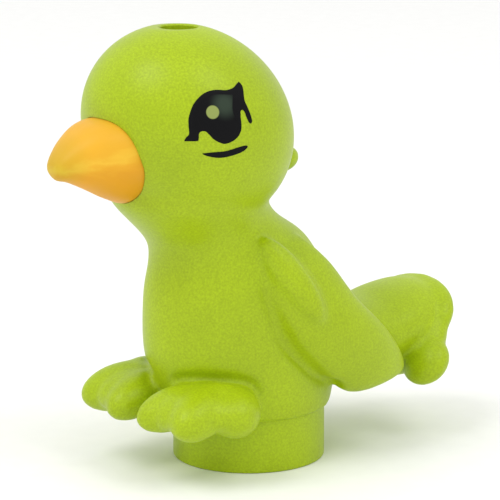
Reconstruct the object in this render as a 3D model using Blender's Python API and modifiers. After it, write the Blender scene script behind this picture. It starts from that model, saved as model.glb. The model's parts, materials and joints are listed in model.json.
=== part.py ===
"""Moulded toy bird with a stud socket: a lime body moulding, a second-shot beak and printed eyes.

The bird faces -Y, its left side is +X and +Z is up. The origin is the centre of the bounding
box's bottom face, in the plane that the base rim stands on. Shapes are laid out in millimetres
about the stud axis, and an empty carries them to its real place.
"""

from math import atan2, cos, radians, sin

import bmesh
import bpy
from mathutils import Matrix, Vector

MM = 0.001
LEFT, RIGHT = 1, -1

# Driving dimensions, in millimetres. Y and Z are measured from the stud axis at the rim plane.
STUD_AXIS_Y = -0.145
RIM_RADIUS = 3.25
RIM_HEIGHT = 2.6
SOCKET_RADIUS = 2.4
SOCKET_DEPTH = 2.0
CORE_RADIUS = 1.5
CORE_TOP = 7.5

HEAD_CENTRE = Vector((0.0, -3.2, 14.64))
HEAD_RADII = Vector((4.34, 4.7, 4.06))
HEAD_TILT = -38.0
CROWN_Z = 18.8
CROWN_Y = -3.65
CROWN_HOLE_RADIUS = 0.8
CROWN_HOLE_DEPTH = 2.4

BEAK_JOINT_GAP = 0.03
# How square the front and back halves of a ring are: below 1 squarer, above 1 more pointed.
BEAK_POWERS = (0.76, 1.25)
WING_POWERS = (0.75, 1.05)

EYE_CENTRE = Vector((3.94, -4.73, 15.69))
EYE_AZIMUTH = 68.0
EYE_ELEVATION = 10.0
EYE_PRISM_DEPTH = 2.4
INK_GAP = 0.03
INK_THICKNESS = 0.05

BLEND_VOXEL = 0.25
BLEND_PASSES = 6
KEPT_FACES = 0.2

LIME = (0.45, 0.61, 0.035, 1.0)
ORANGE = (0.94, 0.5, 0.05, 1.0)
BLACK = (0.012, 0.012, 0.014, 1.0)


def clear_scene():
    for obj in list(bpy.data.objects):
        bpy.data.objects.remove(obj)


def new_collection(name):
    collection = bpy.data.collections.new(name)
    bpy.context.scene.collection.children.link(collection)
    return collection


def material(name, color, roughness):
    made = bpy.data.materials.new(name)
    made.use_nodes = True
    shader = made.node_tree.nodes["Principled BSDF"]
    shader.inputs["Base Color"].default_value = color
    shader.inputs["Roughness"].default_value = roughness
    shader.inputs["Metallic"].default_value = 0.0
    return made


def turn_x(degrees):
    return Matrix.Rotation(radians(degrees), 4, "X")


def turn_z(degrees):
    return Matrix.Rotation(radians(degrees), 4, "Z")


def mirrored(side):
    return Matrix.Diagonal((side, 1, 1, 1))


def add_ellipsoid(bm, centre, radii, turn=Matrix(), segments=48, rings=24):
    place = Matrix.Translation(centre) @ turn @ Matrix.Diagonal((*radii, 1))
    bmesh.ops.create_uvsphere(bm, u_segments=segments, v_segments=rings, radius=1, matrix=place)


def add_cylinder(bm, centre_y, bottom, top, radius, top_radius=None, segments=64):
    place = Matrix.Translation((0, centre_y, (bottom + top) / 2))
    bmesh.ops.create_cone(
        bm,
        cap_ends=True,
        segments=segments,
        radius1=radius,
        radius2=radius if top_radius is None else top_radius,
        depth=top - bottom,
        matrix=place,
    )


def superellipse(angle, powers):
    """A point of a unit ring that is squarer than a circle below power 1 and pointed above it."""
    c, s = cos(angle), sin(angle)
    power = powers[0] if s < 0 else powers[1]
    return Vector((abs(c) ** power * (1 if c > 0 else -1), abs(s) ** power * (1 if s > 0 else -1), 0))


def add_loft(bm, sections, segments=48, powers=(1.0, 1.0)):
    """Bridges rings. Each section is (front y, front z, back y, back z, half width, centre x)."""
    loops = []
    for front_y, front_z, back_y, back_z, half_width, centre_x in sections:
        front, back = Vector((centre_x, front_y, front_z)), Vector((centre_x, back_y, back_z))
        depth = (back - front) / 2
        across = Vector((half_width, 0, 0))
        normal = across.cross(depth).normalized()
        place = Matrix((across, depth, normal)).transposed().to_4x4()
        place.translation = (front + back) / 2
        ring = bmesh.ops.create_circle(bm, segments=segments, radius=1)["verts"]
        for vert in ring:
            vert.co = place @ superellipse(atan2(vert.co.y, vert.co.x), powers)
        loops.append(ring)
    for lower, upper in zip(loops, loops[1:]):
        edges = {edge for vert in lower + upper for edge in vert.link_edges}
        rims = [edge for edge in edges if all(v in lower for v in edge.verts)]
        rims += [edge for edge in edges if all(v in upper for v in edge.verts)]
        bmesh.ops.bridge_loops(bm, edges=rims)
    for end in (loops[0], loops[-1]):
        bmesh.ops.contextual_create(bm, geom=end)


def smooth_sections(sections, steps=4):
    """Catmull-Rom sections between the ones given, so that a loft has no creases."""
    padded = [sections[0], *sections, sections[-1]]
    made = []
    for before, start, end, after in zip(padded, padded[1:], padded[2:], padded[3:]):
        for step in range(steps):
            t = step / steps
            weights = (
                0.5 * (-t + 2 * t**2 - t**3),
                0.5 * (2 - 5 * t**2 + 3 * t**3),
                0.5 * (t + 4 * t**2 - 3 * t**3),
                0.5 * (-(t**2) + t**3),
            )
            rows = zip(before, start, end, after)
            made.append(tuple(sum(w * value for w, value in zip(weights, row)) for row in rows))
    return made + [sections[-1]]


def object_from(bm, name, collection, parent, finish=None):
    """Makes an object in metres on the stud axis from a bmesh laid out in millimetres."""
    bmesh.ops.recalc_face_normals(bm, faces=bm.faces)
    bmesh.ops.scale(bm, vec=(MM, MM, MM), verts=bm.verts)
    mesh = bpy.data.meshes.new(name)
    bm.to_mesh(mesh)
    bm.free()
    mesh.shade_smooth()
    obj = bpy.data.objects.new(name, mesh)
    obj.parent = parent
    if finish:
        mesh.materials.append(finish)
    collection.objects.link(obj)
    return obj


def cutter_from(bm, name, collection, parent):
    obj = object_from(bm, name, collection, parent)
    obj.hide_render = True
    obj.display_type = "WIRE"
    return obj


def combine(target, other, operation):
    modifier = target.modifiers.new(f"{operation.lower()} {other.name}", "BOOLEAN")
    modifier.operation = operation
    modifier.object = other
    modifier.solver = "EXACT"


def torso_sections():
    return smooth_sections(
        [
            (-3.5, 2.05, 3.5, 2.1, 3.42, 0),
            (-3.95, 2.85, 3.72, 2.95, 3.48, 0),
            (-4.5, 3.7, 4.05, 3.9, 3.5, 0),
            (-4.93, 5.2, 4.3, 5.8, 3.5, 0),
            (-4.9, 7.4, 3.55, 7.8, 3.35, 0),
            (-4.63, 8.9, 2.4, 9.6, 3.02, 0),
            (-4.93, 9.9, 0.75, 10.8, 2.7, 0),
            (-6.4, 11.5, -0.4, 12.4, 3.25, 0),
            (-6.6, 12.4, -1.0, 13.3, 2.7, 0),
        ]
    )


def wing_sections(side):
    rows = [
        (-1.2, 9.6, 0.9, 9.9, 0.45, 2.3),
        (-1.5, 8.45, 1.8, 8.85, 0.75, 3.05),
        (-1.15, 6.95, 2.95, 7.2, 0.95, 3.45),
        (-0.4, 5.55, 4.35, 5.8, 1.0, 3.62),
        (1.0, 4.2, 5.35, 4.6, 0.9, 3.55),
        (2.6, 3.0, 5.85, 3.6, 0.6, 3.4),
        (4.2, 2.95, 5.3, 3.2, 0.2, 3.2),
    ]
    return smooth_sections([(*row[:5], side * row[5]) for row in rows])


def rump_sections():
    """Carries the back of the torso out to the root of the tail. Front is the top edge here."""
    return smooth_sections(
        [
            (2.0, 7.0, 2.0, 2.6, 2.6, 0),
            (4.4, 6.2, 4.2, 2.8, 2.6, 0),
            (6.2, 6.05, 6.4, 3.0, 2.6, 0),
            (7.5, 6.35, 8.2, 3.4, 2.5, 0),
            (8.7, 6.5, 9.2, 4.4, 2.0, 0),
            (9.5, 6.4, 9.8, 5.3, 1.4, 0),
        ]
    )


def beak_sections(grow=0.0):
    """From the plug hidden in the head to the blunt tip. Front is the top edge here."""
    rows = [
        (-5.9, 14.9, -5.2, 12.7, 1.25, 0),
        (-6.9, 15.3, -6.0, 12.0, 1.78, 0),
        (-7.6, 15.4, -6.6, 11.78, 1.9, 0),
        (-8.4, 15.2, -7.5, 12.1, 1.66, 0),
        (-9.15, 14.72, -8.45, 12.58, 1.24, 0),
        (-9.65, 14.25, -9.25, 12.95, 0.84, 0),
        (-9.92, 13.9, -9.78, 13.1, 0.54, 0),
        (-9.99, 13.72, -9.94, 13.3, 0.36, 0),
    ]
    made = smooth_sections(rows)
    if not grow:
        return made
    grown = [widened(row, grow) for row in made]
    return [moved_along(grown[0], grown[1], -grow), *grown[1:]]


# Each pad of the left foot: centre, half width, length and height, outward turn and downward tilt.
FOOT_PADS = (
    ((1.35, -4.95, 3.12), (0.95, 1.75, 0.92), -14, 14),
    ((2.0, -4.9, 3.2), (0.9, 1.45, 0.84), 5, 12),
    ((2.75, -4.68, 3.16), (1.1, 1.85, 1.02), 24, 13),
    ((3.05, -3.75, 3.12), (1.0, 1.5, 0.88), 45, 12),
    ((2.9, -3.12, 3.06), (1.16, 1.75, 1.1), 66, 6),
    ((2.1, -3.7, 3.42), (1.65, 1.65, 0.95), 0, 12),
)

TAIL_ROOT = Vector((0.0, 7.2, 2.6))
TAIL_RISE = 52.0
# Each tail lobe: across, along the tail, half width, half length, half thickness.
TAIL_LOBES = (
    (0.0, 2.95, 2.72, 1.88, 0.85),
    (2.65, 0.95, 1.2, 1.15, 0.75),
    (-2.65, 0.95, 1.2, 1.15, 0.75),
    (1.75, 1.9, 1.25, 1.25, 0.75),
    (-1.75, 1.9, 1.25, 1.25, 0.75),
    (0.0, 2.0, 2.65, 2.2, 1.4),
)
# The raised feather edge over the wing: centre, radii, inward turn and rise.
WING_CREST = ((3.72, -0.62, 8.4), (0.74, 2.2, 0.72), -40, -54)

TUFT_CENTRE = (0.0, 1.5, 12.7)
TUFT_RADII = (1.0, 1.0, 0.6)

# Outlines printed on the left of the head, as (towards the back, up) from the eye's centre.
IRIS_OUTLINE = (
    (-0.45, -0.58),
    (-0.14, -0.88),
    (0.36, -1.09),
    (0.78, -0.94),
    (1.05, -0.62),
    (1.09, -0.3),
    (0.84, -0.12),
    (0.71, 0.25),
    (0.76, 0.84),
    (0.2, 0.86),
    (-0.4, 0.74),
    (-0.78, 0.36),
    (-0.86, -0.1),
    (-0.7, -0.5),
)
IRIS_WINDOW = ((-0.13, 0.2), 0.27)
LASH_OUTLINE = (
    (-0.73, -0.66),
    (-0.76, -0.9),
    (-1.28, -0.88),
    (-1.13, -0.62),
    (-1.12, 0.0),
    (-0.88, 0.57),
    (-0.3, 1.02),
    (0.5, 1.07),
    (0.86, 1.14),
    (1.18, 1.37),
    (1.31, 0.9),
    (1.32, 0.55),
    (1.5, 0.08),
    (1.58, -0.22),
    (1.44, -0.28),
    (1.26, 0.16),
    (1.0, 0.16),
    (0.87, -0.11),
    (0.74, 0.25),
    (0.79, 0.87),
    (0.2, 0.895),
    (-0.42, 0.77),
    (-0.81, 0.37),
    (-0.89, -0.11),
    (-0.73, -0.5),
)
LOWER_LID_OUTLINE = (
    (-0.55, -1.45),
    (-0.08, -1.4),
    (0.4, -1.38),
    (1.14, -1.21),
    (1.36, -1.25),
    (1.17, -1.42),
    (0.75, -1.56),
    (0.2, -1.64),
    (-0.28, -1.57),
)


def add_body_shapes(bm):
    add_ellipsoid(bm, HEAD_CENTRE, HEAD_RADII, turn_x(HEAD_TILT))
    add_ellipsoid(bm, TUFT_CENTRE, TUFT_RADII, turn_x(12), segments=32, rings=16)
    add_loft(bm, torso_sections())
    add_loft(bm, rump_sections())
    for side in (LEFT, RIGHT):
        add_loft(bm, wing_sections(side), segments=32, powers=WING_POWERS)
        for (x, y, z), radii, turn, tilt in (WING_CREST, *FOOT_PADS):
            lie = turn_z(side * turn) @ turn_x(tilt)
            add_ellipsoid(bm, (side * x, y, z), radii, lie, segments=32, rings=16)
    rise = turn_x(TAIL_RISE)
    for across, along, *radii in TAIL_LOBES:
        centre = TAIL_ROOT + rise @ Vector((across, along, 0))
        add_ellipsoid(bm, centre, radii, rise, segments=32, rings=16)


def widened(section, grow):
    front_y, front_z, back_y, back_z, half_width, centre_x = section
    across = Vector((back_y - front_y, back_z - front_z)).normalized() * grow
    front_y, front_z = front_y - across.x, front_z - across.y
    return (front_y, front_z, back_y + across.x, back_z + across.y, half_width + grow, centre_x)


def moved_along(section, towards, distance):
    start = Vector((section[0] + section[2], section[1] + section[3])) / 2
    end = Vector((towards[0] + towards[2], towards[1] + towards[3])) / 2
    step = (end - start).normalized() * distance
    front_y, front_z, back_y, back_z, half_width, centre_x = section
    return (front_y + step.x, front_z + step.y, back_y + step.x, back_z + step.y, half_width, centre_x)


def blended_body(name, collection, parent, grow=0.0, finish=None):
    """The body's shapes melted together, standing off by the distance grown."""
    bm = bmesh.new()
    add_body_shapes(bm)
    body = object_from(bm, name, collection, parent, finish)
    blend = body.modifiers.new("blend shapes", "REMESH")
    blend.mode = "VOXEL"
    blend.voxel_size = BLEND_VOXEL * MM
    blend.use_smooth_shade = True
    soften = body.modifiers.new("soften joins", "SMOOTH")
    soften.iterations = BLEND_PASSES
    thin = body.modifiers.new("thin mesh", "DECIMATE")
    thin.ratio = KEPT_FACES
    if grow:
        stand_off = body.modifiers.new("stand off", "DISPLACE")
        stand_off.strength = grow * MM
        stand_off.mid_level = 0
    return body


def body_moulding(parts, cutters, axis, lime):
    body = blended_body("body_moulding", parts, axis, finish=lime)
    bm = bmesh.new()
    add_cylinder(bm, 0, 0, RIM_HEIGHT + 0.6, RIM_RADIUS)
    combine(body, cutter_from(bm, "rim_blank", cutters, axis), "UNION")
    bm = bmesh.new()
    add_cylinder(bm, 0, -1, SOCKET_DEPTH, SOCKET_RADIUS)
    combine(body, cutter_from(bm, "socket_cutter", cutters, axis), "DIFFERENCE")
    bm = bmesh.new()
    add_cylinder(bm, 0, -1, CORE_TOP, CORE_RADIUS, segments=32)
    combine(body, cutter_from(bm, "core_cutter", cutters, axis), "DIFFERENCE")
    bm = bmesh.new()
    bottom = CROWN_Z - CROWN_HOLE_DEPTH
    add_cylinder(bm, CROWN_Y, bottom, CROWN_Z + 1, CROWN_HOLE_RADIUS, segments=32)
    combine(body, cutter_from(bm, "crown_hole_cutter", cutters, axis), "DIFFERENCE")
    bm = bmesh.new()
    add_cylinder(bm, CROWN_Y, CROWN_Z, CROWN_Z + 1, 3, segments=32)
    combine(body, cutter_from(bm, "crown_flat_cutter", cutters, axis), "DIFFERENCE")
    bm = bmesh.new()
    add_loft(bm, beak_sections(BEAK_JOINT_GAP), segments=32, powers=BEAK_POWERS)
    combine(body, cutter_from(bm, "beak_pocket_cutter", cutters, axis), "DIFFERENCE")
    return body


def beak(parts, axis, orange):
    bm = bmesh.new()
    add_loft(bm, beak_sections(), segments=32, powers=BEAK_POWERS)
    made = object_from(bm, "beak", parts, axis, orange)
    return made


def eye_plane(side):
    """Carries (towards the back, up, outwards) at the eye to the stud axis."""
    azimuth, elevation = radians(EYE_AZIMUTH), radians(EYE_ELEVATION)
    back = Vector((cos(azimuth), sin(azimuth), 0))
    outwards = Vector((sin(azimuth) * cos(elevation), -cos(azimuth) * cos(elevation), sin(elevation)))
    place = Matrix((back, outwards.cross(back), outwards)).transposed().to_4x4()
    place.translation = EYE_CENTRE
    return mirrored(side) @ place


def ring_points(centre, radius, count=24):
    turns = [radians(360 * step / count) for step in range(count)]
    return [(centre[0] + radius * cos(turn), centre[1] + radius * sin(turn)) for turn in turns]


def outline_prism(outlines, place):
    """Extrudes closed outlines, the later ones being holes, into a bmesh."""
    curve = bpy.data.curves.new("outline", "CURVE")
    curve.dimensions = "2D"
    curve.fill_mode = "BOTH"
    curve.extrude = EYE_PRISM_DEPTH / 2
    for outline in outlines:
        spline = curve.splines.new("POLY")
        spline.points.add(len(outline) - 1)
        for point, (across, up) in zip(spline.points, outline):
            point.co = (across, up, 0, 1)
        spline.use_cyclic_u = True
    drawn = bpy.data.objects.new("outline", curve)
    bpy.context.scene.collection.objects.link(drawn)
    mesh = bpy.data.meshes.new_from_object(drawn)
    bm = bmesh.new()
    bm.from_mesh(mesh)
    bmesh.ops.remove_doubles(bm, verts=bm.verts, dist=0.0001)
    bmesh.ops.transform(bm, matrix=place, verts=bm.verts)
    bpy.data.objects.remove(drawn)
    return bm


def rounded(outline, passes=2):
    """Cuts the corners of a closed outline, as a drawn line has none."""
    for _ in range(passes):
        cut = []
        for here, after in zip(outline, outline[1:] + outline[:1]):
            cut.append(tuple(0.75 * a + 0.25 * b for a, b in zip(here, after)))
            cut.append(tuple(0.25 * a + 0.75 * b for a, b in zip(here, after)))
        outline = tuple(cut)
    return outline


def print_film(name, outlines, side, parts, axis, black, shells):
    """Ink lying on the head: the outline's prism between two stand-offs of the body."""
    bm = outline_prism(outlines, eye_plane(side))
    film = object_from(bm, name, parts, axis, black)
    combine(film, shells[1], "INTERSECT")
    combine(film, shells[0], "DIFFERENCE")
    return film


def eye_prints(parts, cutters, axis, black):
    shells = []
    for name, grow in (("ink_underside", INK_GAP), ("ink_top", INK_GAP + INK_THICKNESS)):
        shell = blended_body(name, cutters, axis, grow)
        shell.hide_render = True
        shell.display_type = "WIRE"
        shells.append(shell)
    iris = (rounded(IRIS_OUTLINE), ring_points(*IRIS_WINDOW))
    for side, word in ((LEFT, "left"), (RIGHT, "right")):
        print_film(f"{word}_iris_print", iris, side, parts, axis, black, shells)
        print_film(f"{word}_lash_print", (rounded(LASH_OUTLINE, 1),), side, parts, axis, black, shells)
        lid = (rounded(LOWER_LID_OUTLINE),)
        print_film(f"{word}_lower_lid_print", lid, side, parts, axis, black, shells)


def main():
    clear_scene()
    parts = new_collection("toy_bird")
    cutters = new_collection("cutters")
    axis = bpy.data.objects.new("stud_axis", None)
    axis.location = (0, STUD_AXIS_Y * MM, 0)
    parts.objects.link(axis)
    lime = material("lime_abs", LIME, 0.38)
    orange = material("orange_abs", ORANGE, 0.36)
    black = material("black_ink", BLACK, 0.3)
    body_moulding(parts, cutters, axis, lime)
    beak(parts, axis, orange)
    eye_prints(parts, cutters, axis, black)


main()
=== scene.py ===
"""A small two-shot moulded toy bird: lime body on a stud socket, orange beak and printed eyes.

Lengths are laid out in millimetres about the stud axis, as the part itself is, and every
finished piece ends in metres in the part's own frame. The bird faces -Y and its left is +X.
"""

import json
from math import cos, degrees, radians, sin

import bmesh
import bpy
from bpy.props import (
    FloatProperty,
    FloatVectorProperty,
    IntProperty,
    PointerProperty,
)
from mathutils import Matrix, Vector


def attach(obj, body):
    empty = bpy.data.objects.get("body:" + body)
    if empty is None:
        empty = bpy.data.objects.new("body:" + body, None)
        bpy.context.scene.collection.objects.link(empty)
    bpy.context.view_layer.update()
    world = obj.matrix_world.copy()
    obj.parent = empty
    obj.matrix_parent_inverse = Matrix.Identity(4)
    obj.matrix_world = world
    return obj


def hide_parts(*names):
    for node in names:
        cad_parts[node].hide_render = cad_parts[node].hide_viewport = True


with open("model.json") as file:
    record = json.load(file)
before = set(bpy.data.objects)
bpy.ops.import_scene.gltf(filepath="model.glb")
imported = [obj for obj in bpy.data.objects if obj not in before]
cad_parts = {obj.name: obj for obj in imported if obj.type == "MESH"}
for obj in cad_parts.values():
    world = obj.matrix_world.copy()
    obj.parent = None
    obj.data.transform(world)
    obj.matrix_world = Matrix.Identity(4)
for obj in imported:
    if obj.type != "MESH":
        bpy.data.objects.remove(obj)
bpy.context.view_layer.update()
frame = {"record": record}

bl_info = {
    "name": "Moulded Toy Bird",
    "version": (1, 0, 0),
    "blender": (4, 5, 0),
    "location": "View3D > Sidebar > Toy Bird",
    "description": "Models a two-shot moulded toy bird with a stud socket and printed eyes",
    "category": "Add Mesh",
}

MM = 0.001
LEFT, RIGHT = 1, -1
SIDES = ((LEFT, "left"), (RIGHT, "right"))
BASE_RIM = next(m for m in frame["record"]["mounts"] if m["name"] == "base_rim")
STUD_AXIS = Vector((0, BASE_RIM["pos_m"][1], 0))

HEAD_CENTRE = (0, -3.2, 14.64)
# How far in front of the stud axis the crown hole is, and the radius of the tool that flattens it.
CROWN_Y = -3.65
CROWN_CUTTER_RADIUS = 3
EYE_CENTRE = (3.94, -4.73, 15.69)
# The way the left eye faces: its turn from the front to the side, and its rise.
EYE_AZIMUTH = 68
EYE_ELEVATION = 10
# Torso rings from the base up, in mm: front y and z, back y and z, half width, centre x.
TORSO_RINGS = (
    (-3.5, 2.22, 3.5, 2.27, 3.42, 0),
    (-3.95, 2.95, 3.72, 3.05, 3.48, 0),
    (-4.5, 3.7, 4.05, 3.9, 3.5, 0),
    (-4.93, 5.2, 4.3, 5.8, 3.5, 0),
    (-4.9, 7.4, 3.55, 7.8, 3.35, 0),
    (-4.63, 8.9, 2.4, 9.6, 3.02, 0),
    (-4.93, 9.9, 0.75, 10.8, 2.7, 0),
    (-6.4, 11.5, -0.4, 12.4, 3.25, 0),
    (-6.6, 12.4, -1.0, 13.3, 2.7, 0),
)
# Folded wing, shoulder to tip: leading y and z, trailing y and z, half thickness, centre x.
WING_RINGS = (
    (-1.2, 9.6, 0.9, 9.9, 0.45, 2.3),
    (-1.5, 8.45, 1.8, 8.85, 0.75, 3.05),
    (-1.15, 6.95, 2.95, 7.2, 0.95, 3.45),
    (-0.4, 5.55, 4.35, 5.8, 1.0, 3.62),
    (1.0, 4.2, 5.35, 4.6, 0.9, 3.55),
    (2.6, 3.0, 5.85, 3.6, 0.6, 3.4),
    (4.2, 2.95, 5.3, 3.2, 0.2, 3.2),
)
# The raised feather edge that runs down and back over the wing: centre, radii, turn and tilt.
WING_CREST = ((3.72, -0.62, 8.4), (0.74, 2.2, 0.72), -40, -54)
# The hollow under the wing's lower front edge.
WING_HOLLOW = ((3.5, 1.75, 3.5), (0.45, 0.42, 0.34), 0, -30)
# The groove along the wing's front edge, from the shoulder down and back, and its radius.
WING_GROOVE = (
    (3.3, -1.8, 8.5),
    (3.3, -1.68, 7.9),
    (3.42, -1.5, 7.1),
    (3.53, -0.98, 5.74),
    (3.56, 0.05, 4.62),
    (3.42, 1.15, 3.83),
    (3.25, 1.75, 3.5),
)
WING_GROOVE_RADIUS = 0.22
FOOT_CREASE_RADIUS = 0.25
# The rump that carries the tail: top y and z, bottom y and z, half width, centre x.
RUMP_RINGS = (
    (2.0, 7.0, 2.0, 2.6, 2.6, 0),
    (4.4, 6.2, 4.2, 2.8, 2.6, 0),
    (6.2, 6.05, 6.4, 3.0, 2.6, 0),
    (7.5, 6.35, 8.2, 3.4, 2.5, 0),
    (8.7, 6.5, 9.2, 4.4, 2.0, 0),
    (9.5, 6.4, 9.8, 5.3, 1.4, 0),
)
# The beak, from its plug in the head to its blunt tip: top y and z, bottom y and z, half width.
BEAK_RINGS = (
    (-5.9, 14.9, -5.2, 12.7, 1.25, 0),
    (-6.9, 15.3, -6.0, 12.0, 1.78, 0),
    (-7.6, 15.4, -6.6, 11.78, 1.9, 0),
    (-8.4, 15.2, -7.5, 12.1, 1.66, 0),
    (-9.15, 14.72, -8.45, 12.58, 1.24, 0),
    (-9.65, 14.25, -9.25, 12.95, 0.84, 0),
    (-9.92, 13.9, -9.78, 13.1, 0.54, 0),
    (-10.0, 13.72, -9.95, 13.3, 0.3, 0),
)
# Heights across the beak that its painted shade and painted ridge highlight run between, low to
# high, once its slope is undone.
BEAK_LIGHT_HEIGHTS = (14.0, 17.1)
# What the painted shade and painted ridge highlight multiply red, green and blue by, at parts of
# the way up: darker low down, brightest at the ridge.
BEAK_LIGHT_TINTS = (
    (0.44, (0.95, 0.88, 0.75)),
    (0.55, (1.0, 1.0, 1.1)),
    (0.65, (1.06, 1.26, 2.3)),
    (0.76, (1.0, 1.06, 1.5)),
)
# Left foot pads: centre, half width, length and height, outward turn and downward tilt.
FOOT_PADS = (
    ((1.35, -4.95, 3.12), (0.95, 1.75, 0.92), -14, 14),
    ((2.0, -4.9, 3.2), (0.9, 1.45, 0.84), 5, 12),
    ((2.75, -4.68, 3.16), (1.1, 1.85, 1.02), 24, 13),
    ((3.0, -3.75, 3.28), (1.0, 1.42, 0.76), 45, 12),
    ((2.9, -3.12, 3.06), (1.16, 1.75, 1.1), 66, 6),
    ((2.1, -3.7, 3.42), (1.65, 1.65, 0.95), 0, 12),
)
# The crease between the left foot and the torso, from its inner front round to its back.
FOOT_CREASE = (
    (0.5, -4.85, 3.7),
    (0.91, -4.6, 4.13),
    (1.75, -4.12, 4.32),
    (2.39, -3.52, 4.32),
    (2.83, -2.9, 4.25),
    (3.15, -2.22, 3.98),
    (3.3, -1.85, 3.3),
)
TAIL_ROOT = Vector((0, 7.2, 2.6))
TAIL_RISE = 52
# Tail lobes: across, along the tail, half width, half length, half thickness.
TAIL_LOBES = (
    (0.0, 2.95, 2.72, 1.88, 0.85),
    (2.65, 0.95, 1.2, 1.15, 0.75),
    (-2.65, 0.95, 1.2, 1.15, 0.75),
    (1.75, 1.9, 1.25, 1.25, 0.75),
    (-1.75, 1.9, 1.25, 1.25, 0.75),
    (0.0, 2.0, 2.65, 2.2, 1.4),
)
TUFT = ((0, 1.5, 12.7), (1.0, 1.0, 0.6), 12)

# The seam groove between tube and body: how far its ring is outside the tube, and its radius.
SEAM_OUT = 0.08
SEAM_THICKNESS = 0.09
TUBE_RIM_ROUNDING = 0.1
BEAK_JOINT_GAP = 0.02
BEAK_TIP_ROUNDING = 0.18
# The ink prism's half height, the film's thickness, and how far the iris lies below the lashes.
INK_PRISM = 1.3
INK_THICKNESS = 0.06
IRIS_BELOW = 0.006
INK_SMOOTH_ANGLE = 50

# Ink outlines at the left eye, towards the back and up from its centre.
# A point given twice is a corner.
IRIS_LINE = (
    (-0.45, -0.56),
    (-0.32, -0.68),
    (-0.13, -0.88),
    (0.13, -1.03),
    (0.38, -1.09),
    (0.68, -1.0),
    (0.91, -0.84),
    (1.05, -0.62),
    (1.09, -0.36),
    (1.07, -0.06),
    (1.07, 0.12),
    (0.9, 0.2),
    (0.76, 0.5),
    (0.82, 0.92),
    (0.82, 0.92),
    (0.5, 0.95),
    (0.1, 0.97),
    (-0.3, 0.91),
    (-0.56, 0.76),
    (-0.8, 0.48),
    (-0.93, 0.15),
    (-0.96, -0.15),
    (-0.9, -0.42),
    (-0.72, -0.57),
    (-0.6, -0.54),
)
LASH_LINE = (
    (-1.31, -0.9),
    (-1.31, -0.9),
    (-1.24, -0.76),
    (-1.12, -0.62),
    (-1.13, -0.29),
    (-1.12, -0.01),
    (-1.03, 0.27),
    (-0.88, 0.57),
    (-0.59, 0.86),
    (-0.28, 1.03),
    (0.1, 1.09),
    (0.52, 1.06),
    (0.84, 1.13),
    (1.04, 1.28),
    (1.17, 1.38),
    (1.17, 1.38),
    (1.28, 1.25),
    (1.32, 1.07),
    (1.31, 0.81),
    (1.32, 0.6),
    (1.4, 0.39),
    (1.52, 0.08),
    (1.59, -0.21),
    (1.54, -0.32),
    (1.44, -0.28),
    (1.34, -0.07),
    (1.27, 0.14),
    (1.18, 0.23),
    (1.08, 0.18),
    (1.06, -0.1),
    (1.06, -0.1),
    (0.86, -0.18),
    (0.86, -0.18),
    (0.73, 0.25),
    (0.8, 0.86),
    (0.8, 0.86),
    (0.5, 0.88),
    (0.1, 0.9),
    (-0.25, 0.85),
    (-0.5, 0.7),
    (-0.72, 0.45),
    (-0.84, 0.15),
    (-0.88, -0.15),
    (-0.82, -0.42),
    (-0.7, -0.56),
    (-0.73, -0.66),
    (-0.74, -0.84),
    (-0.81, -0.92),
)
LOWER_LID_LINE = (
    (-0.57, -1.45),
    (-0.48, -1.42),
    (-0.08, -1.4),
    (0.38, -1.38),
    (0.79, -1.29),
    (1.14, -1.21),
    (1.3, -1.2),
    (1.36, -1.26),
    (1.17, -1.42),
    (0.75, -1.56),
    (0.2, -1.64),
    (-0.28, -1.57),
)
# The round glint in the iris: its centre and radius.
GLINT = ((-0.13, 0.2), 0.27)


CAMERA_TARGET = (0.037, 0.047, 8.93)
# Each soft light's distance towards the camera, to its side and up, and its width, in metres.
LIGHT_PLACE = (0.08, 0.112, 0.192)
LIGHT_SIZE = 0.13
FLOOR_SIZE = 30
WORLD_STRENGTH = 0.92


def linear(hex_colour):
    """Turns an sRGB hex colour to the linear red, green, blue and alpha that shaders read."""
    parts = [int(hex_colour[i : i + 2], 16) / 255 for i in (1, 3, 5)]
    made = [c / 12.92 if c <= 0.04045 else ((c + 0.055) / 1.055) ** 2.4 for c in parts]
    return (*made, 1.0)


class ToyBirdSizes(bpy.types.PropertyGroup):
    head_radii: FloatVectorProperty(
        name="Head radii",
        description="Half width, half length and half height of the egg-shaped head",
        size=3,
        subtype="XYZ_LENGTH",
        unit="LENGTH",
        default=(0.00434, 0.0047, 0.00406),
    )
    head_tilt: FloatProperty(
        name="Head tilt",
        description="Turn of the head's long axis, nose end down",
        subtype="ANGLE",
        unit="ROTATION",
        default=radians(-38),
    )
    rim_radius: FloatProperty(
        name="Rim radius",
        description="Outer radius of the tube that the bird stands on",
        unit="LENGTH",
        default=0.00325,
    )
    rim_height: FloatProperty(
        name="Rim height",
        description="Height of the seam between the tube and the body",
        unit="LENGTH",
        default=0.0026,
    )
    socket_radius: FloatProperty(
        name="Socket radius",
        description="Radius of the socket that takes a stud",
        unit="LENGTH",
        default=0.0024,
    )
    socket_depth: FloatProperty(
        name="Socket depth",
        description="Depth of the socket above the rim",
        unit="LENGTH",
        default=0.002,
    )
    core_radius: FloatProperty(
        name="Core radius",
        description="Radius of the core hole above the socket",
        unit="LENGTH",
        default=0.0015,
    )
    core_top: FloatProperty(
        name="Core height",
        description="Top of the core hole above the rim",
        unit="LENGTH",
        default=0.0075,
    )
    crown_height: FloatProperty(
        name="Crown height",
        description="Height of the flat on top of the head",
        unit="LENGTH",
        default=0.0188,
    )
    crown_hole_radius: FloatProperty(
        name="Crown hole radius",
        description="Radius of the accessory hole in the crown",
        unit="LENGTH",
        default=0.0008,
    )
    crown_hole_depth: FloatProperty(
        name="Crown hole depth",
        description="Depth of the accessory hole below the flat",
        unit="LENGTH",
        default=0.0024,
    )
    melt_size: FloatProperty(
        name="Melt size",
        description="Cell that the body's shapes are melted together at",
        unit="LENGTH",
        default=0.00012,
    )
    melt_passes: IntProperty(
        name="Melt passes",
        description="Smoothing passes that round the joins between shapes",
        default=18,
    )


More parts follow.
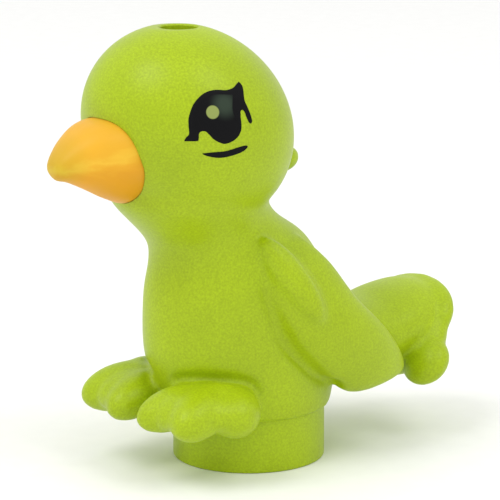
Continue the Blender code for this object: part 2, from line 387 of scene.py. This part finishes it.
class ToyBirdColours(bpy.types.PropertyGroup):
    lime: FloatVectorProperty(
        name="Lime",
        description="Colour of the body moulding",
        size=4,
        subtype="COLOR",
        default=linear("#A1B810"),
    )
    orange: FloatVectorProperty(
        name="Orange",
        description="Colour of the beak moulding",
        size=4,
        subtype="COLOR",
        default=linear("#E6A820"),
    )
    ink: FloatVectorProperty(
        name="Ink",
        description="Colour of the printed lashes and lower lids",
        size=4,
        subtype="COLOR",
        default=linear("#0C0C0E"),
    )
    # Painted reflection: the dark grey-green sheen of the lamps on the glossy iris ink, put into
    # the ink's colour.
    iris_sheen: FloatVectorProperty(
        name="Iris tint",
        description="Dark grey-green at the upper back of the printed iris",
        size=4,
        subtype="COLOR",
        default=linear("#333F33"),
    )
    glint: FloatVectorProperty(
        name="Glint",
        description="Pale grey-green dot in the printed iris",
        size=4,
        subtype="COLOR",
        default=linear("#8E9A55"),
    )


class ToyBirdStage(bpy.types.PropertyGroup):
    azimuth: FloatProperty(
        name="Azimuth",
        description="Camera's turn from the bird's front towards its left",
        subtype="ANGLE",
        unit="ROTATION",
        default=radians(52),
    )
    elevation: FloatProperty(
        name="Elevation",
        description="Camera's height angle above the target",
        subtype="ANGLE",
        unit="ROTATION",
        default=radians(12.416),
    )
    distance: FloatProperty(
        name="Distance",
        description="Camera's distance from the target",
        unit="LENGTH",
        default=0.122375,
    )
    lens: FloatProperty(
        name="Focal length",
        description="Focal length on a 36 mm wide sensor, in millimetres",
        default=207.38,
    )
    key_watts: FloatProperty(
        name="Key light",
        description="Power of the soft light above, in front and to the left",
        subtype="POWER",
        unit="POWER",
        default=0.164,
    )
    fill_watts: FloatProperty(
        name="Fill light",
        description="Power of the soft light above, in front and to the right",
        subtype="POWER",
        unit="POWER",
        default=0.097,
    )


def place(x, y, z):
    """A point in metres in the part's frame, from millimetres about the stud axis."""
    return Vector((x, y, z)) * MM + STUD_AXIS


def deselect_all():
    if bpy.context.mode != "OBJECT":
        bpy.ops.object.mode_set(mode="OBJECT")
    bpy.ops.object.select_all(action="DESELECT")


def select_only(*objects):
    deselect_all()
    for obj in objects:
        obj.select_set(True)
    bpy.context.view_layer.objects.active = objects[0]


def settle(obj, name):
    """Names the piece and moves its place and size into its mesh."""
    select_only(obj)
    bpy.ops.object.transform_apply(location=True, rotation=True, scale=True)
    obj.name = name
    obj.data.name = name
    return obj


def ball(name, centre, radii, tilt=0.0, turn=0.0, segments=96):
    """An egg shape about a centre, both in mm, tilted nose down and then turned outwards."""
    deselect_all()
    bpy.ops.mesh.primitive_uv_sphere_add(
        segments=segments,
        ring_count=segments // 2,
        radius=MM,
        location=place(*centre),
        rotation=(radians(tilt), 0, radians(turn)),
        scale=radii,
    )
    return settle(bpy.context.object, name)


def rod(name, centre_y, bottom, top, radius, top_radius=None, vertices=128):
    """A round bar or cone standing upright, in mm."""
    deselect_all()
    bpy.ops.mesh.primitive_cone_add(
        vertices=vertices,
        radius1=radius * MM,
        radius2=(radius if top_radius is None else top_radius) * MM,
        depth=(top - bottom) * MM,
        location=place(0, centre_y, (bottom + top) / 2),
    )
    return settle(bpy.context.object, name)


def round_cord(name, points, radius, side):
    """A round bar along a smooth path of points in mm."""
    deselect_all()
    bpy.ops.curve.primitive_bezier_curve_add()
    path = bpy.context.object
    path.data.bevel_depth = radius * MM
    path.data.bevel_resolution = 4
    path.data.use_fill_caps = True
    bends = path.data.splines[0].bezier_points
    bends.add(len(points) - len(bends))
    for bend, (x, y, z) in zip(bends, points):
        bend.co = place(side * x, y, z)
        bend.handle_left_type = bend.handle_right_type = "AUTO"
    bpy.ops.object.convert(target="MESH")
    path = bpy.context.object
    select_only(path)
    bpy.ops.object.mode_set(mode="EDIT")
    bpy.ops.mesh.select_all(action="SELECT")
    bpy.ops.mesh.remove_doubles(threshold=1e-7)
    bpy.ops.mesh.normals_make_consistent(inside=False)
    bpy.ops.object.mode_set(mode="OBJECT")
    return settle(path, name)


def ring_bar(name, height, radius, thickness):
    """A flat-lying round ring about the stud axis, in mm."""
    deselect_all()
    bpy.ops.mesh.primitive_torus_add(
        location=place(0, 0, height),
        major_radius=radius * MM,
        minor_radius=thickness * MM,
        major_segments=160,
        minor_segments=16,
    )
    return settle(bpy.context.object, name)


def smooth_rings(rings, steps=4):
    """Adds rings between the given ones, on a curve that passes through them all."""
    made = [rings[0]]
    for i in range(len(rings) - 1):
        ends = (rings[max(i - 1, 0)], rings[i], rings[i + 1], rings[min(i + 2, len(rings) - 1)])
        for step in range(1, steps + 1):
            made.append(tuple(pass_through(*values, step / steps) for values in zip(*ends)))
    return made


def pass_through(before, start, end, after, t):
    """The point a part t of the way from start to end on a smooth curve through four points."""
    return 0.5 * (
        start * 2
        + (end - before) * t
        + (before * 2 - start * 5 + end * 4 - after) * t**2
        + (start * 3 - before - end * 3 + after) * t**3
    )


def ring_frame(front_y, front_z, back_y, back_z, half_width, centre_x):
    """Carries a circle of unit radius to an elliptical ring given in mm by its two ends."""
    middle = place(centre_x, (front_y + back_y) / 2, (front_z + back_z) / 2)
    along = Vector((0, back_y - front_y, back_z - front_z)) * MM / 2
    across = Vector((half_width * MM, 0, 0))
    turn = Matrix((across, along, across.cross(along).normalized())).transposed().to_4x4()
    turn.translation = middle
    return turn


def ring_loft(name, rings, power=1.0, back_power=None, vertices=64, steps=4):
    """Extrudes a disc from ring to ring. Its outline is squarer where the power is below 1.

    The back half, away from each ring's first end, may have a power of its own.
    """
    deselect_all()
    bpy.ops.mesh.primitive_circle_add(vertices=vertices, radius=1, fill_type="NGON")
    loft = bpy.context.object
    for vert in loft.data.vertices:
        bend = power if back_power is None or vert.co.y < 0 else back_power
        vert.co = [abs(value) ** bend * (1 if value > 0 else -1) for value in vert.co]
    frames = [ring_frame(*ring) for ring in smooth_rings(rings, steps)]
    loft.data.transform(frames[0])
    bpy.ops.object.mode_set(mode="EDIT")
    bpy.ops.mesh.select_all(action="SELECT")
    mesh = bmesh.from_edit_mesh(loft.data)
    for last, following in zip(frames, frames[1:]):
        bpy.ops.mesh.extrude_region_move()
        end = [vert for vert in mesh.verts if vert.select]
        bmesh.ops.transform(mesh, matrix=following @ last.inverted(), verts=end)
    bmesh.update_edit_mesh(loft.data)
    bpy.ops.mesh.select_all(action="SELECT")
    bpy.ops.mesh.normals_make_consistent(inside=False)
    bpy.ops.object.mode_set(mode="OBJECT")
    return settle(loft, name)


def apply_modifier(obj, name):
    select_only(obj)
    bpy.ops.object.modifier_apply(modifier=name)


def fuse(obj, cell):
    """Joins overlapping shapes into one even skin."""
    skin = obj.modifiers.new("skin", "REMESH")
    skin.mode = "VOXEL"
    skin.voxel_size = cell
    apply_modifier(obj, skin.name)


def fillet_joins(obj, passes):
    """Rounds the valleys between fused shapes, as a toolmaker's fillets do."""
    fillet = obj.modifiers.new("fillet", "SMOOTH")
    fillet.iterations = passes
    apply_modifier(obj, fillet.name)


def cut(obj, tool, operation="DIFFERENCE"):
    """Combines the piece with a tool shape and throws the tool away."""
    boolean = obj.modifiers.new("cut", "BOOLEAN")
    boolean.operation = operation
    boolean.solver = "EXACT"
    boolean.object = tool
    apply_modifier(obj, boolean.name)
    mesh = tool.data
    bpy.data.objects.remove(tool)
    bpy.data.meshes.remove(mesh)


def round_rim(obj, height, width, segments=4):
    """Bevels the edges that lie in the horizontal plane at a height in metres."""
    select_only(obj)
    bpy.ops.object.mode_set(mode="EDIT")
    bpy.ops.mesh.select_all(action="DESELECT")
    bpy.ops.mesh.select_mode(type="EDGE")
    bpy.ops.object.mode_set(mode="OBJECT")
    for edge in obj.data.edges:
        ends = [obj.data.vertices[i].co.z for i in edge.vertices]
        edge.select = all(abs(z - height) < 1e-6 for z in ends)
    bpy.ops.object.mode_set(mode="EDIT")
    bpy.ops.mesh.bevel(offset=width, segments=segments, affect="EDGES")
    bpy.ops.object.mode_set(mode="OBJECT")


def finish_piece(obj, material, *nodes, angle=38):
    """Smooths the piece, gives it its finish and lets it stand for its CAD nodes."""
    select_only(obj)
    bpy.ops.object.shade_smooth_by_angle(angle=radians(angle))
    obj.data.materials.clear()
    obj.data.materials.append(material)
    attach(obj, "root")
    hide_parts(*nodes)
    return obj


def add_node(tree, kind, settings=None, **links):
    """Adds a shader node, sets its properties and sockets, and links the named inputs."""
    node = tree.nodes.new(kind)
    for key, value in (settings or {}).items():
        if isinstance(key, str) and hasattr(node, key):
            setattr(node, key, value)
        else:
            node.inputs[key].default_value = value
    for key, source in links.items():
        tree.links.new(source, node.inputs[key.replace("_", " ")])
    return node


def new_material(name):
    material = bpy.data.materials.new(name)
    material.use_nodes = True
    tree = material.node_tree
    return material, tree, tree.nodes["Principled BSDF"]


def lime_moulded_abs(colours):
    """Injection-moulded ABS off a satin-blasted tool: a soft broad shine with a faint grain."""
    material, tree, shader = new_material("lime_moulded_abs")
    place_of = add_node(tree, "ShaderNodeTexCoord").outputs["Object"]
    # Slow drift of pigment through the moulding, a few millimetres across.
    drift = add_node(
        tree, "ShaderNodeTexNoise", {"Scale": 260.0, "Detail": 2.0}, Vector=place_of
    )
    # Spark-eroded grain is about 0.03 mm. It is drawn at 0.08 mm so that it shows.
    grain = add_node(
        tree, "ShaderNodeTexNoise", {"Scale": 12000.0, "Detail": 2.0}, Vector=place_of
    )
    shades = add_node(tree, "ShaderNodeValToRGB", Fac=drift.outputs["Fac"])
    base = Vector(colours.lime[:3])
    shades.color_ramp.elements[0].position = 0.3
    shades.color_ramp.elements[0].color = (*(base * 0.93), 1)
    shades.color_ramp.elements[1].position = 0.7
    shades.color_ramp.elements[1].color = (*(base * 1.05), 1)
    speck = add_node(
        tree,
        "ShaderNodeMapRange",
        {"From Min": 0.3, "From Max": 0.7, "To Min": 0.86, "To Max": 1.14},
        Value=grain.outputs["Fac"],
    )
    tinted = add_node(
        tree,
        "ShaderNodeVectorMath",
        {"operation": "SCALE"},
        Vector=shades.outputs["Color"],
        Scale=speck.outputs["Result"],
    )
    tree.links.new(tinted.outputs["Vector"], shader.inputs["Base Color"])
    rough = add_node(
        tree,
        "ShaderNodeMapRange",
        {"From Min": 0.3, "From Max": 0.7, "To Min": 0.34, "To Max": 0.44},
        Value=drift.outputs["Fac"],
    )
    tree.links.new(rough.outputs["Result"], shader.inputs["Roughness"])
    bump = add_node(
        tree,
        "ShaderNodeBump",
        {"Strength": 0.25, "Distance": 0.00001},
        Height=grain.outputs["Fac"],
    )
    tree.links.new(bump.outputs["Normal"], shader.inputs["Normal"])
    shader.inputs["IOR"].default_value = 1.53
    shader.inputs["Specular IOR Level"].default_value = 0.25
    shader.inputs["Subsurface Weight"].default_value = 0.1
    shader.inputs["Subsurface Radius"].default_value = (1.0, 1.0, 0.25)
    shader.inputs["Subsurface Scale"].default_value = 0.0004
    return material


def orange_moulded_abs(colours):
    """The second shot of ABS, with faint flow lines running from the root to the tip, painted shade
    on its lower sides and a painted highlight along its ridge.
    """
    material, tree, shader = new_material("orange_moulded_abs")
    place_of = add_node(tree, "ShaderNodeTexCoord").outputs["Object"]
    # Flow lines are 0.5 mm apart across the beak and several times longer along it.
    along = add_node(
        tree,
        "ShaderNodeMapping",
        {"Rotation": (radians(-24), 0, 0), "Scale": (1.0, 0.22, 1.0)},
        Vector=place_of,
    )
    flow = add_node(
        tree, "ShaderNodeTexNoise", {"Scale": 1900.0, "Detail": 3.0}, Vector=along.outputs["Vector"]
    )
    # Painted light across the beak: painted shade low on its sides and a pale painted highlight
    # along the ridge on each side, its edge wavered by the flow lines.
    level = add_node(
        tree, "ShaderNodeMapping", {"Rotation": (radians(-13), 0, 0)}, Vector=place_of
    )
    height = add_node(tree, "ShaderNodeSeparateXYZ", Vector=level.outputs["Vector"])
    waver = add_node(
        tree,
        "ShaderNodeMath",
        {"operation": "MULTIPLY_ADD", 1: 1.1 * MM},
        Value=flow.outputs["Fac"],
    )
    tree.links.new(height.outputs["Z"], waver.inputs[2])
    up = add_node(
        tree,
        "ShaderNodeMapRange",
        {"From Min": BEAK_LIGHT_HEIGHTS[0] * MM, "From Max": BEAK_LIGHT_HEIGHTS[1] * MM},
        Value=waver.outputs["Value"],
    )
    shades = add_node(tree, "ShaderNodeValToRGB", Fac=up.outputs["Result"])
    ramp = shades.color_ramp
    base = Vector(colours.orange[:3])
    ramp.elements[0].position = 0.0
    ramp.elements[0].color = (base.x * 0.87, base.y * 0.8, base.z * 0.6, 1)
    ramp.elements[1].position = 1.0
    ramp.elements[1].color = (base.x * 0.96, base.y * 1.02, base.z * 1.5, 1)
    # The tints in between: painted shade low down, and the painted ridge highlight at 0.65.
    for at, (red, green, blue) in BEAK_LIGHT_TINTS:
        ramp.elements.new(at).color = (base.x * red, base.y * green, base.z * blue, 1)
    # Darker and greener towards the tip.
    where = add_node(tree, "ShaderNodeSeparateXYZ", Vector=place_of)
    out = add_node(
        tree,
        "ShaderNodeMapRange",
        {"From Min": -10.1 * MM, "From Max": -9.0 * MM},
        Value=where.outputs["Y"],
    )
    tip = add_node(tree, "ShaderNodeValToRGB", Fac=out.outputs["Result"])
    tip.color_ramp.elements[0].color = (0.76, 0.9, 0.75, 1)
    tip.color_ramp.elements[1].color = (1, 1, 1, 1)
    tinted = add_node(
        tree, "ShaderNodeVectorMath", {"operation": "MULTIPLY"}, Vector=shades.outputs["Color"]
    )
    tree.links.new(tip.outputs["Color"], tinted.inputs[1])
    tree.links.new(tinted.outputs["Vector"], shader.inputs["Base Color"])
    rough = add_node(
        tree,
        "ShaderNodeMapRange",
        {"From Min": 0.3, "From Max": 0.7, "To Min": 0.38, "To Max": 0.5},
        Value=flow.outputs["Fac"],
    )
    tree.links.new(rough.outputs["Result"], shader.inputs["Roughness"])
    bump = add_node(
        tree,
        "ShaderNodeBump",
        {"Strength": 0.2, "Distance": 0.00003},
        Height=flow.outputs["Fac"],
    )
    tree.links.new(bump.outputs["Normal"], shader.inputs["Normal"])
    shader.inputs["IOR"].default_value = 1.53
    shader.inputs["Specular IOR Level"].default_value = 0.25
    shader.inputs["Subsurface Weight"].default_value = 0.05
    shader.inputs["Subsurface Radius"].default_value = (1.0, 0.6, 0.2)
    shader.inputs["Subsurface Scale"].default_value = 0.0004
    return material


def black_pad_ink(colours):
    """Pad-printed ink: a thin film, a little glossier than the plastic, faintly mottled."""
    material, tree, shader = new_material("black_pad_ink")
    place_of = add_node(tree, "ShaderNodeTexCoord").outputs["Object"]
    # Mottle of the ink pad, about 0.2 mm across.
    mottle = add_node(
        tree, "ShaderNodeTexNoise", {"Scale": 5000.0, "Detail": 2.0}, Vector=place_of
    )
    shades = add_node(tree, "ShaderNodeValToRGB", Fac=mottle.outputs["Fac"])
    base = Vector(colours.ink[:3])
    shades.color_ramp.elements[0].color = (*(base * 0.8), 1)
    shades.color_ramp.elements[1].color = (*(base * 1.3), 1)
    tree.links.new(shades.outputs["Color"], shader.inputs["Base Color"])
    shader.inputs["Roughness"].default_value = 0.5
    shader.inputs["IOR"].default_value = 1.45
    shader.inputs["Specular IOR Level"].default_value = 0.12
    return material


def iris_pad_ink(colours, side):
    """The iris ink, black, with a painted dark grey-green reflection that gathers at its upper
    back.
    """
    word = "left" if side == LEFT else "right"
    material, tree, shader = new_material(f"iris_pad_ink_{word}")
    place_of = add_node(tree, "ShaderNodeTexCoord").outputs["Object"]
    # The painted reflection is strongest here, up and back in the iris, and fades out around it.
    centre = eye_plane(side) @ Vector((0.42 * MM, 0.5 * MM, 0))
    away = add_node(
        tree,
        "ShaderNodeVectorMath",
        {"operation": "DISTANCE", 1: centre},
        Vector=place_of,
    )
    painted_reflection_fade = add_node(
        tree,
        "ShaderNodeMapRange",
        {
            "interpolation_type": "SMOOTHSTEP",
            "From Min": 0.15 * MM,
            "From Max": 0.75 * MM,
            "To Min": 1.0,
            "To Max": 0.0,
        },
        Value=away.outputs["Value"],
    )
    shades = add_node(tree, "ShaderNodeValToRGB", Fac=painted_reflection_fade.outputs["Result"])
    shades.color_ramp.elements[0].color = colours.ink
    shades.color_ramp.elements[1].color = colours.iris_sheen
    (across, up), radius = GLINT
    from_glint = add_node(
        tree,
        "ShaderNodeVectorMath",
        {"operation": "DISTANCE", 1: eye_plane(side) @ Vector((across * MM, up * MM, 0))},
        Vector=place_of,
    )
    inside = add_node(
        tree,
        "ShaderNodeMapRange",
        {"From Min": radius * MM * 1.06, "From Max": radius * MM * 0.94},
        Value=from_glint.outputs["Value"],
    )
    printed = add_node(
        tree,
        "ShaderNodeMixRGB",
        {"Color2": colours.glint},
        Fac=inside.outputs["Result"],
        Color1=shades.outputs["Color"],
    )
    tree.links.new(printed.outputs["Color"], shader.inputs["Base Color"])
    shader.inputs["Roughness"].default_value = 0.5
    shader.inputs["IOR"].default_value = 1.45
    shader.inputs["Specular IOR Level"].default_value = 0.12
    return material


def eye_plane(side):
    """Carries (towards the back, up, outwards) in metres at the eye to the part's frame."""
    azimuth, elevation = radians(EYE_AZIMUTH), radians(EYE_ELEVATION)
    back = Vector((cos(azimuth), sin(azimuth), 0))
    level = cos(elevation)
    outwards = Vector((sin(azimuth) * level, -cos(azimuth) * level, sin(elevation)))
    turn = Matrix((back, outwards.cross(back), outwards)).transposed().to_4x4()
    turn.translation = place(*EYE_CENTRE)
    return Matrix.Diagonal((side, 1, 1, 1)) @ turn


def pen_line(points, steps=5):
    """Passes a smooth closed line through the points. A point given twice makes a corner."""
    made = []
    for i in range(len(points)):
        before, start, end, after = (Vector(points[(i + k) % len(points)]) for k in (-1, 0, 1, 2))
        if start == end:
            continue
        if before == start:
            before = start * 2 - end
        if after == end:
            after = end * 2 - start
        made += [pass_through(before, start, end, after, step / steps) for step in range(steps)]
    return made


def ink_film(name, line, side, material, top):
    """Lays a printed outline on the head: a prism cut to a thin skin of the head's egg."""
    outline = pen_line(line)
    deselect_all()
    bpy.ops.mesh.primitive_circle_add(vertices=len(outline), radius=MM)
    film = bpy.context.object
    for vert, point in zip(film.data.vertices, outline):
        vert.co = Vector((point.x, point.y, -INK_PRISM)) * MM
    bpy.ops.object.mode_set(mode="EDIT")
    bpy.ops.mesh.select_all(action="SELECT")
    bpy.ops.mesh.edge_face_add()
    bpy.ops.mesh.extrude_region_move(
        TRANSFORM_OT_translate={"value": (0, 0, 2 * INK_PRISM * MM)}
    )
    bpy.ops.mesh.select_all(action="SELECT")
    bpy.ops.mesh.normals_make_consistent(inside=False)
    bpy.ops.object.mode_set(mode="OBJECT")
    film.matrix_world = eye_plane(side)
    settle(film, name)
    if side == RIGHT:
        bpy.ops.object.mode_set(mode="EDIT")
        bpy.ops.mesh.select_all(action="SELECT")
        bpy.ops.mesh.normals_make_consistent(inside=False)
        bpy.ops.object.mode_set(mode="OBJECT")
    cut(film, head_egg("ink_top", top, 192), "INTERSECT")
    cut(film, head_egg("ink_underside", top - INK_THICKNESS))
    return finish_piece(film, material, name.replace("_film", "_print"), angle=INK_SMOOTH_ANGLE)


def head_egg(name, grow=0.0, segments=96):
    sizes = bpy.context.scene.toy_bird_sizes
    radii = [r / MM + grow for r in sizes.head_radii]
    return ball(name, HEAD_CENTRE, radii, tilt=degrees(sizes.head_tilt), segments=segments)


def body_shapes():
    """Everything that is moulded in one with the body, overlapping and not yet fused."""
    shapes = [head_egg("head"), ring_loft("torso", TORSO_RINGS), ring_loft("rump", RUMP_RINGS)]
    centre, radii, tilt = TUFT
    shapes.append(ball("tuft", centre, radii, tilt=tilt))
    for side, word in SIDES:
        rings = [(*ring[:5], side * ring[5]) for ring in WING_RINGS]
        shapes.append(ring_loft(f"{word}_wing", rings, power=0.75, back_power=1.05))
        (x, y, z), radii, turn, tilt = WING_CREST
        shapes.append(ball(f"{word}_wing_crest", (side * x, y, z), radii, tilt, side * turn))
        for (x, y, z), radii, turn, tilt in FOOT_PADS:
            shapes.append(ball(f"{word}_toe", (side * x, y, z), radii, tilt, side * turn))
    rise = Matrix.Rotation(radians(TAIL_RISE), 3, "X")
    for across, along, *radii in TAIL_LOBES:
        centre = TAIL_ROOT + rise @ Vector((across, along, 0))
        shapes.append(ball("tail_lobe", centre, radii, tilt=TAIL_RISE))
    return shapes


class TOYBIRD_OT_body(bpy.types.Operator):
    """Model the lime body moulding with its stud socket and crown hole"""

    bl_idname = "toy_bird.body"
    bl_label = "Body Moulding"

    def execute(self, context):
        sizes = context.scene.toy_bird_sizes
        shapes = body_shapes()
        select_only(*shapes)
        bpy.ops.object.join()
        body = context.object
        fuse(body, sizes.melt_size)
        (x, y, z), radii, turn, tilt = WING_HOLLOW
        for side, _ in SIDES:
            cut(body, ball("wing_hollow", (side * x, y, z), radii, tilt, side * turn))
            cut(body, round_cord("wing_groove", WING_GROOVE, WING_GROOVE_RADIUS, side))
            cut(body, round_cord("foot_crease", FOOT_CREASE, FOOT_CREASE_RADIUS, side))
        fuse(body, sizes.melt_size)
        fillet_joins(body, sizes.melt_passes)
        top = sizes.rim_height / MM + 0.6
        tube = rod("tube", 0, 0, top, sizes.rim_radius / MM)
        round_rim(tube, 0, TUBE_RIM_ROUNDING * MM)
        cut(body, tube, "UNION")
        seam_radius = sizes.rim_radius / MM + SEAM_OUT
        cut(body, ring_bar("seam", sizes.rim_height / MM, seam_radius, SEAM_THICKNESS))
        socket = sizes.socket_radius / MM
        cut(body, rod("socket", 0, -1, sizes.socket_depth / MM, socket))
        cut(body, rod("socket_lead_in", 0, -0.2, 0.15, socket + 0.3, socket - 0.05))
        cut(body, rod("core", 0, -1, sizes.core_top / MM, sizes.core_radius / MM, vertices=64))
        crown, hole = sizes.crown_height / MM, sizes.crown_hole_radius / MM
        depth = sizes.crown_hole_depth / MM
        cut(body, rod("crown_flat", CROWN_Y, crown, crown + 1, CROWN_CUTTER_RADIUS))
        cut(body, rod("crown_hole", CROWN_Y, crown - depth, crown + 1, hole, vertices=64))
        lead_in = (crown - 0.08, crown + 0.08, hole - 0.02, hole + 0.14)
        cut(body, rod("crown_lead_in", CROWN_Y, *lead_in, vertices=64))
        cut(body, beak_shape("beak_pocket", BEAK_JOINT_GAP))
        settle(body, "lime_body")
        finish_piece(body, lime_moulded_abs(context.scene.toy_bird_colours), "body_moulding")
        return {"FINISHED"}


def beak_shape(name, grow=0.0):
    rings = []
    for top_y, top_z, bottom_y, bottom_z, half_width, centre_x in BEAK_RINGS:
        out = Vector((bottom_y - top_y, bottom_z - top_z)).normalized() * grow
        ends = (top_y - out.x, top_z - out.y, bottom_y + out.x, bottom_z + out.y)
        rings.append((*ends, half_width + grow, centre_x))
    return ring_loft(name, rings, power=0.76, back_power=1.25, vertices=96, steps=8)


class TOYBIRD_OT_beak(bpy.types.Operator):
    """Model the orange beak, the second shot of the moulding"""

    bl_idname = "toy_bird.beak"
    bl_label = "Beak"

    def execute(self, context):
        beak = beak_shape("orange_beak")
        tip = beak.modifiers.new("round tip", "BEVEL")
        tip.width = BEAK_TIP_ROUNDING * MM
        tip.segments = 4
        tip.angle_limit = radians(35)
        apply_modifier(beak, tip.name)
        finish_piece(beak, orange_moulded_abs(context.scene.toy_bird_colours), "beak")
        return {"FINISHED"}


class TOYBIRD_OT_eyes(bpy.types.Operator):
    """Print the iris, lash and lower lid on each side of the head"""

    bl_idname = "toy_bird.eyes"
    bl_label = "Eye Prints"

    def execute(self, context):
        colours = context.scene.toy_bird_colours
        black = black_pad_ink(colours)
        for side, word in SIDES:
            iris = iris_pad_ink(colours, side)
            films = (
                ink_film(f"{word}_iris_film", IRIS_LINE, side, iris, -IRIS_BELOW),
                ink_film(f"{word}_lash_film", LASH_LINE, side, black, 0.0),
                ink_film(f"{word}_lower_lid_film", LOWER_LID_LINE, side, black, 0.0),
            )
        return {"FINISHED"}


def soft_light(name, location, target, size, watts):
    deselect_all()
    bpy.ops.object.light_add(type="AREA", location=location)
    lamp = bpy.context.object
    lamp.name = name
    lamp.data.energy = watts
    lamp.data.shape = "DISK"
    lamp.data.size = size
    lamp.rotation_euler = (lamp.location - target).to_track_quat("Z", "Y").to_euler()
    return lamp


def paper_white():
    """A seamless sheet of matt white card with the faintest fibre."""
    material, tree, shader = new_material("paper_white")
    place_of = add_node(tree, "ShaderNodeTexCoord").outputs["Object"]
    # Card fibres clump at about 1 mm.
    fibre = add_node(
        tree, "ShaderNodeTexNoise", {"Scale": 900.0, "Detail": 3.0}, Vector=place_of
    )
    shades = add_node(tree, "ShaderNodeValToRGB", Fac=fibre.outputs["Fac"])
    shades.color_ramp.elements[0].color = linear("#F4F4F2")
    shades.color_ramp.elements[1].color = linear("#FAFAF8")
    tree.links.new(shades.outputs["Color"], shader.inputs["Base Color"])
    shader.inputs["Roughness"].default_value = 0.9
    return material


class TOYBIRD_OT_stage(bpy.types.Operator):
    """Set the camera, the soft lights and the pale floor"""

    bl_idname = "toy_bird.stage"
    bl_label = "Stage"

    def execute(self, context):
        scene = context.scene
        stage = scene.toy_bird_stage
        target = place(*CAMERA_TARGET)
        side, up = stage.azimuth, stage.elevation
        back = Vector((sin(side) * cos(up), -cos(side) * cos(up), sin(up)))
        deselect_all()
        bpy.ops.object.camera_add(location=target + back * stage.distance)
        camera = context.object
        camera.rotation_euler = back.to_track_quat("Z", "Y").to_euler()
        camera.data.lens = stage.lens
        camera.data.sensor_width = 36
        camera.data.clip_start = 0.001
        camera.data.clip_end = 10
        scene.camera = camera
        deselect_all()
        bpy.ops.mesh.primitive_plane_add(size=FLOOR_SIZE)
        floor = settle(context.object, "floor")
        floor.data.materials.append(paper_white())
        right = Vector((cos(side), sin(side), 0))
        towards = Vector((back.x, back.y, 0)).normalized()
        near, aside, high = LIGHT_PLACE
        for name, way, watts in (("key", -1, stage.key_watts), ("fill", 1, stage.fill_watts)):
            offset = towards * near + right * aside * way + Vector((0, 0, high))
            soft_light(name, target + offset, target, LIGHT_SIZE, watts)
        world = bpy.data.worlds.new("studio")
        scene.world = world
        world.use_nodes = True
        background = world.node_tree.nodes["Background"]
        background.inputs["Color"].default_value = (1, 1, 1, 1)
        background.inputs["Strength"].default_value = WORLD_STRENGTH
        scene.view_settings.view_transform = "Standard"
        return {"FINISHED"}


class TOYBIRD_PT_sidebar(bpy.types.Panel):
    """Lists the bird's sizes, colours and making steps"""

    bl_label = "Toy Bird"
    bl_idname = "TOYBIRD_PT_sidebar"
    bl_space_type = "VIEW_3D"
    bl_region_type = "UI"
    bl_category = "Toy Bird"

    def draw(self, context):
        column = self.layout.column()
        for group in (context.scene.toy_bird_sizes, context.scene.toy_bird_colours):
            for name in group.__annotations__:
                column.prop(group, name)
        for name in context.scene.toy_bird_stage.__annotations__:
            column.prop(context.scene.toy_bird_stage, name)
        for step in STEPS:
            column.operator(step.bl_idname)


STEPS = (TOYBIRD_OT_body, TOYBIRD_OT_beak, TOYBIRD_OT_eyes, TOYBIRD_OT_stage)
GROUPS = (
    ("toy_bird_sizes", ToyBirdSizes),
    ("toy_bird_colours", ToyBirdColours),
    ("toy_bird_stage", ToyBirdStage),
)


def register():
    for name, group in GROUPS:
        bpy.utils.register_class(group)
        setattr(bpy.types.Scene, name, PointerProperty(type=group))
    for made in (*STEPS, TOYBIRD_PT_sidebar):
        bpy.utils.register_class(made)


def unregister():
    for made in (TOYBIRD_PT_sidebar, *reversed(STEPS)):
        bpy.utils.unregister_class(made)
    for name, group in reversed(GROUPS):
        delattr(bpy.types.Scene, name)
        bpy.utils.unregister_class(group)


def main():
    register()
    bpy.ops.toy_bird.body()
    bpy.ops.toy_bird.beak()
    bpy.ops.toy_bird.eyes()
    bpy.ops.toy_bird.stage()


if __name__ == "__main__":
    main()
